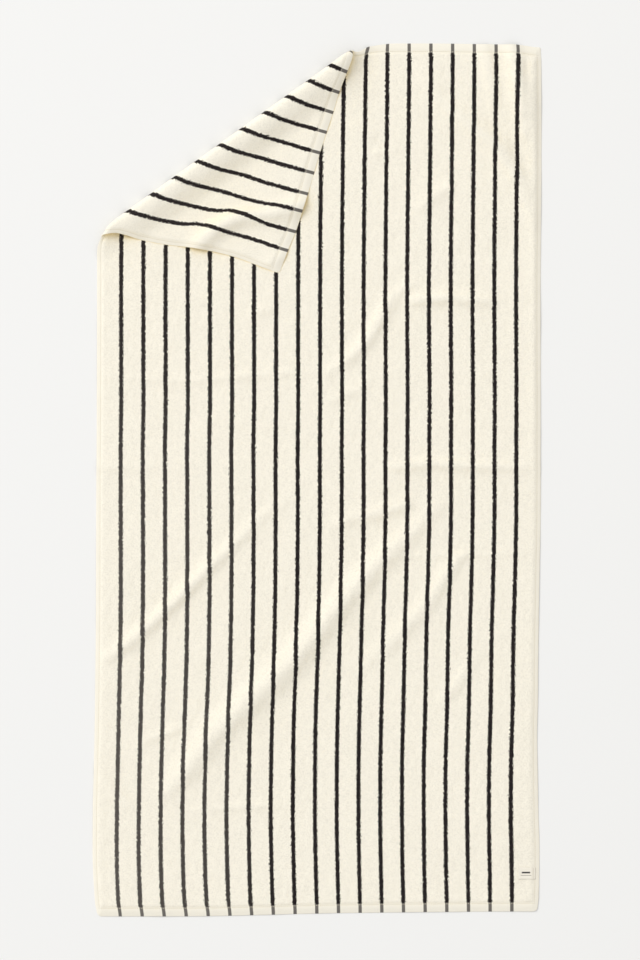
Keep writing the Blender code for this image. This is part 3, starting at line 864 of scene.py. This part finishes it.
# ------------------------------------------------------------------ label
def make_label():
    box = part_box("label")
    u0, u1, v0, v1 = box[0][0] + .0028, box[1][0] + .0006, box[0][1] - .003, box[1][1] - .003
    thick = .0007
    nu, nv = 41, 33
    a, b = np.meshgrid(np.linspace(0, 1, nu), np.linspace(0, 1, nv), indexing="ij")
    # its free edges are a touch bowed and lifted; the outer edge is caught under the hem's stitches
    u = u0 + (u1 + .0022 - u0) * a
    v = v0 + (v1 - v0) * b + .0002 * np.sin(a * 5)
    p, n, _, _ = surface(u, v)
    t = thickness(u, v)[0]
    edge = np.minimum(np.minimum(a, 1 - a) * (u1 - u0), np.minimum(b, 1 - b) * (v1 - v0))
    lift = .00035 + .0007 * (1 - a) ** 3 + .00025 * np.cos(b * 7 + 1) * (1 - a) + .0001 * np.sin(a * 9 + b * 4)
    round_ = np.sqrt(np.clip(1 - (1 - np.clip(edge / .0005, 0, 1)) ** 2, 0, 1))
    centre = np.maximum(t, HEM_T) / 2 + lift
    top = p + n * (centre + thick / 2 * round_)[..., None]
    bot = p + n * (centre - thick / 2 * round_)[..., None]
    index = np.arange(nu * nv).reshape(nu, nv)
    low = np.full((nu, nv), -1)
    low[0, :], low[-1, :], low[:, 0], low[:, -1] = index[0, :], index[-1, :], index[:, 0], index[:, -1]
    free = np.zeros((nu, nv), bool)
    free[1:-1, 1:-1] = True
    low[free] = nu * nv + np.arange(free.sum())
    verts = np.concatenate([top.reshape(-1, 3), bot[free]])
    q = lambda g: np.stack([g[:-1, :-1], g[1:, :-1], g[1:, 1:], g[:-1, 1:]], -1).reshape(-1, 4)
    obj = new_object("woven_label", verts, np.concatenate([q(index), q(low)[:, ::-1]]))
    uc, vc = (u0 + u1) / 2, (v0 + v1) / 2
    pu = np.concatenate([u.ravel(), u[free]]) - uc
    pv = np.concatenate([v.ravel(), v[free]]) - vc
    side = np.concatenate([np.zeros(nu * nv), np.ones(free.sum())])
    point_attribute(obj, "pattern", "FLOAT_VECTOR", np.stack([pu, pv + side * .05, side], -1))
    obj.data.materials.append(LABEL)
    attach(obj, "towel")
    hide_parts("label")

    # a short row of thread along its caught edge
    rows = stitch_row("label_thread", (u1 - .0009, v0 + .0012, u1 - .0009, v1 - .0012), ["label_stitching"],
                      "towel", pitch=.0022, both=False)
    co = np.array([x.co for x in rows.data.vertices])
    co[:, 2] += .0010
    put(rows, co)
    return obj, rows


towel = make_towel()
threads = make_stitching()
label, label_thread = make_label()

# ------------------------------------------------------------------ floor, light, camera
def stage():
    mesh = bpy.data.meshes.new("floor")
    s = 6.0
    mesh.from_pydata([(-s, -s, 0), (s, -s, 0), (s, s, 0), (-s, s, 0)], [], [(0, 1, 2, 3)])
    floor = bpy.data.objects.new("floor", mesh)
    bpy.context.collection.objects.link(floor)
    g = Graph("floor_paper")
    g.shader.inputs["Base Color"].default_value = (0.845, 0.843, 0.835, 1)
    g.shader.inputs["Roughness"].default_value = 0.9
    g.shader.inputs["Specular IOR Level"].default_value = 0.1
    mesh.materials.append(g.mat)

    world = bpy.data.worlds.new("soft_studio")
    bpy.context.scene.world = world
    world.use_nodes = True
    back = world.node_tree.nodes["Background"]
    back.inputs[0].default_value = (1.0, 0.998, 0.99, 1)
    back.inputs[1].default_value = 0.775

    soft = bpy.data.lights.new("window", "AREA")
    soft.shape = "SQUARE"
    soft.size = 9.5
    soft.energy = 2040
    soft.color = (1.0, 0.995, 0.98)
    lamp = bpy.data.objects.new("window", soft)
    bpy.context.collection.objects.link(lamp)
    lamp.location = (-12.6, 9.6, 11.2)
    lamp.rotation_euler = Vector((-12.6, 9.6, 11.2)).to_track_quat("Z", "Y").to_euler()

    scene = bpy.context.scene
    scene.view_settings.view_transform = "Standard"
    scene.view_settings.look = "None"
    cam = bpy.data.cameras.new("camera")
    cam.sensor_fit = "VERTICAL"
    cam.sensor_height = 36.0
    distance, tall = 6.0, 960 * 0.001573
    cam.lens = 36.0 / 2 / (tall / 2 / distance)
    camera = bpy.data.objects.new("camera", cam)
    camera.location = (0.00157, -0.00157, distance)
    bpy.context.collection.objects.link(camera)
    scene.camera = camera


stage()
